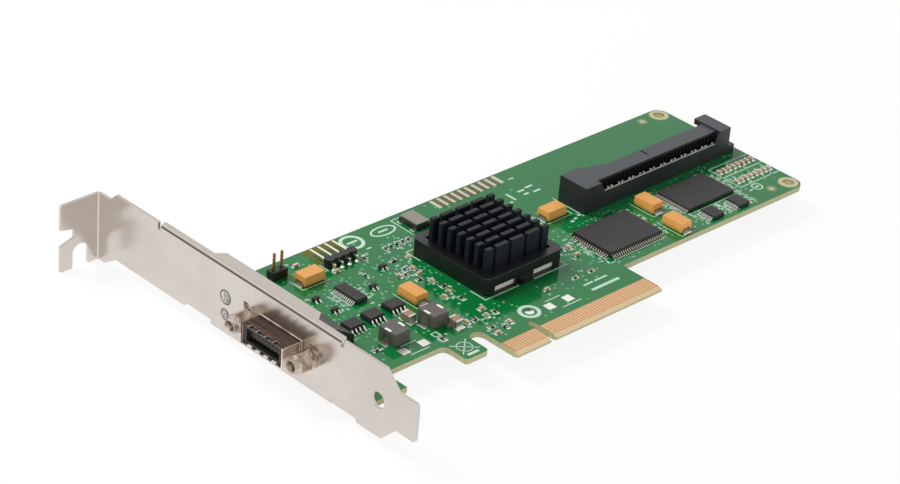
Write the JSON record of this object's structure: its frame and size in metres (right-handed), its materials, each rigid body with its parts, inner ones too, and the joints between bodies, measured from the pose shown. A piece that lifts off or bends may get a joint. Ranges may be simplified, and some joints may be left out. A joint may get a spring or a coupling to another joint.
{
  "type": "host bus adapter",
  "caption": "Flat expansion card with a slotted bracket, an external port between jack sockets, a pin-fin heatsink, an upright cable connector and a gold card edge.",
  "frame": {"origin": "on the middle of the key slot, at the foot of the card-edge tab, on the component face", "axes": "+X along the card away from the bracket, +Y from the card edge to the far edge, +Z out of the component face"},
  "size_m": [0.1841, 0.1201, 0.0219],
  "materials": {
    "board": "glossy green solder mask over glass-fibre board",
    "gold": "gold plating over copper alloy",
    "tin": "tin plating, satin",
    "bracket_steel": "nickel-plated sheet steel, satin",
    "plated_steel": "plated steel, bright",
    "black_plastic": "black moulded plastic",
    "lens": "milky clear plastic",
    "mould": "dark grey moulding compound",
    "substrate": "pale laminate",
    "thermal": "soft grey pad",
    "anodised": "black anodised",
    "tantalum": "orange-yellow moulded epoxy",
    "ferrite": "dark grey pressed powder",
    "brown_ceramic": "brown ceramic",
    "black_ceramic": "dark glass over ceramic",
    "lid_metal": "satin metal lid"
  },
  "bodies": {
    "root": {"circuit_board": "board", "edge_contacts": "gold", "external_port_contacts": "gold", "internal_connector_contacts": "gold", "angle_pins": "gold", "jumper_pins": "gold", "bare_lands": "tin", "buffer_leads": "tin", "power_switch_leads": "tin", "small_transistor_leads": "tin", "support_processor_leads": "tin", "memory_leads": "tin", "logic_chip_leads": "tin", "tantalum_terminals": "tin", "inductor_terminals": "tin", "bulk_capacitor_caps": "tin", "bracket": "bracket_steel", "external_port_shell": "plated_steel", "jack_sockets": "plated_steel", "external_port_housing": "black_plastic", "indicator_housing": "black_plastic", "jumper_header": "black_plastic", "angle_header": "black_plastic", "heatsink_frame": "black_plastic", "internal_connector_housing": "black_plastic", "indicator_lenses": "lens", "buffer_chip": "mould", "power_switch_1": "mould", "power_switch_2": "mould", "power_switch_3": "mould", "small_transistors": "mould", "support_processor": "mould", "memory_chip": "mould", "logic_chip_1": "mould", "logic_chip_2": "mould", "controller_case": "mould", "controller_substrate": "substrate", "thermal_pad": "thermal", "heatsink": "anodised", "tantalum_capacitor_1": "tantalum", "tantalum_capacitor_2": "tantalum", "tantalum_capacitor_3": "tantalum", "tantalum_capacitor_4": "tantalum", "tantalum_capacitor_5": "tantalum", "power_inductor_1": "ferrite", "power_inductor_2": "ferrite", "bulk_capacitors": "brown_ceramic", "chip_capacitors": "brown_ceramic", "chip_resistors": "black_ceramic", "oscillator_base": "black_ceramic", "oscillator_lid": "lid_metal"}
  },
  "joints": []
}
